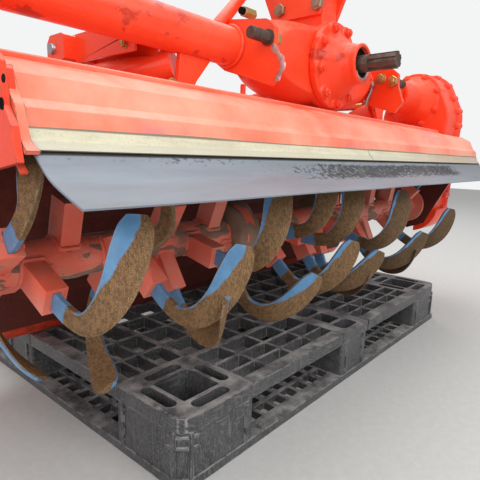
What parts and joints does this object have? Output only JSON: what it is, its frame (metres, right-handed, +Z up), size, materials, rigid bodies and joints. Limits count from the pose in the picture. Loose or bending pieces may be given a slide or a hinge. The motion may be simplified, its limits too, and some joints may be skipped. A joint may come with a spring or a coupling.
{
  "type": "rotavator",
  "caption": "Tractor-mounted rotavator with hooded tine rotor, side chain case, mast, rear cover on spring rods and input shaft, standing on a plastic pallet.",
  "frame": {"origin": "centre of the pallet's underside, where the part stands", "axes": "+X along the rotor towards the chain case, -Y towards the tractor and the input shaft, +Z up"},
  "size_m": [1.659, 1.1906, 1.063],
  "materials": {
    "orange_paint": "gloss orange-red enamel, faded and scratched",
    "case_paint": "gloss orange-red enamel on rough casting",
    "cover_paint": "faded orange-red enamel with pale and violet patches",
    "rotor_paint": "worn dull red paint with dried soil",
    "tine_steel": "ground brown steel with blue paint left on the inner side",
    "dark_steel": "dark oiled steel",
    "plated_steel": "yellow zinc plating, dulled",
    "spring_steel": "black spring steel",
    "zinc": "dull cream zinc sheet",
    "flap_rubber": "grey-black glossy rubber, scuffed",
    "pallet": "black moulded plastic, dusty and scuffed"
  },
  "bodies": {
    "frame": {"pallet_deck": "pallet", "pallet_legs": "pallet", "pallet_base": "pallet", "gear_case": "case_paint", "gear_case_cover": "case_paint", "case_struts": "orange_paint", "beam_right": "orange_paint", "beam_left": "orange_paint", "chain_case": "case_paint", "chain_case_cover": "case_paint", "chain_case_guard": "case_paint", "side_plate_right": "orange_paint", "side_plate_left": "orange_paint", "bearing_housing": "case_paint", "hood_main": "orange_paint", "hood_front_cover": "cover_paint", "zinc_strip": "zinc", "front_flap": "flap_rubber", "hinge_pin": "plated_steel", "hood_knuckles": "orange_paint", "hitch_plate_right": "orange_paint", "lower_pin_right": "dark_steel", "mast_plate_right": "orange_paint", "mast_brace_right": "orange_paint", "rod_arm_right": "orange_paint", "hood_bracket_right": "orange_paint", "hood_stay_right": "orange_paint", "hitch_plate_left": "orange_paint", "lower_pin_left": "dark_steel", "mast_plate_left": "orange_paint", "mast_brace_left": "orange_paint", "rod_arm_left": "orange_paint", "hood_bracket_left": "orange_paint", "hood_stay_left": "orange_paint"},
    "rotor": {"rotor_pipe": "rotor_paint", "tines": "tine_steel"},
    "input_shaft": {"pto_shaft": "dark_steel"},
    "rear_cover": {"rear_cover": "orange_paint", "rear_lugs": "orange_paint"},
    "rod_right": {"spring_rod_right": "plated_steel", "cover_spring_right": "spring_steel"},
    "rod_left": {"spring_rod_left": "plated_steel", "cover_spring_left": "spring_steel"},
    "trunnion_right": {"trunnion_right": "plated_steel"},
    "trunnion_left": {"trunnion_left": "plated_steel"}
  },
  "joints": [
    {"name": "rotor_spin", "type": "hinge", "parent": "frame", "child": "rotor", "pos_m": [0, -0.379, 0.354], "axis": [1, 0, 0], "continuous": true},
    {"name": "input_spin", "type": "hinge", "parent": "frame", "child": "input_shaft", "pos_m": [0.03, -0.5, 0.719], "axis": [0, -1, 0], "continuous": true},
    {"name": "rear_cover_lift", "type": "hinge", "parent": "frame", "child": "rear_cover", "pos_m": [0, -0.157, 0.519], "axis": [1, 0, 0], "range_deg": [0, 40]},
    {"name": "trunnion_right_swing", "type": "hinge", "parent": "frame", "child": "trunnion_right", "pos_m": [-0.445, -0.112, 0.702], "axis": [1, 0, 0], "range_deg": [0, 21.93]},
    {"name": "trunnion_left_swing", "type": "hinge", "parent": "frame", "child": "trunnion_left", "pos_m": [0.505, -0.112, 0.702], "axis": [1, 0, 0], "range_deg": [0, 21.93]},
    {"name": "rod_right_swing", "type": "hinge", "parent": "rear_cover", "child": "rod_right", "pos_m": [-0.445, -0.05, 0.33], "axis": [1, 0, 0], "range_deg": [-18.09, 0]},
    {"name": "rod_left_swing", "type": "hinge", "parent": "rear_cover", "child": "rod_left", "pos_m": [0.505, -0.05, 0.33], "axis": [1, 0, 0], "range_deg": [-18.09, 0]}
  ],
  "couplings": [
    {"joint": "input_spin", "follows": "rotor_spin", "ratio": 2.7},
    {"joint": "trunnion_right_swing", "follows": "rear_cover_lift", "ratio": 0.548},
    {"joint": "trunnion_left_swing", "follows": "rear_cover_lift", "ratio": 0.548},
    {"joint": "rod_right_swing", "follows": "rear_cover_lift", "ratio": -0.452},
    {"joint": "rod_left_swing", "follows": "rear_cover_lift", "ratio": -0.452}
  ]
}
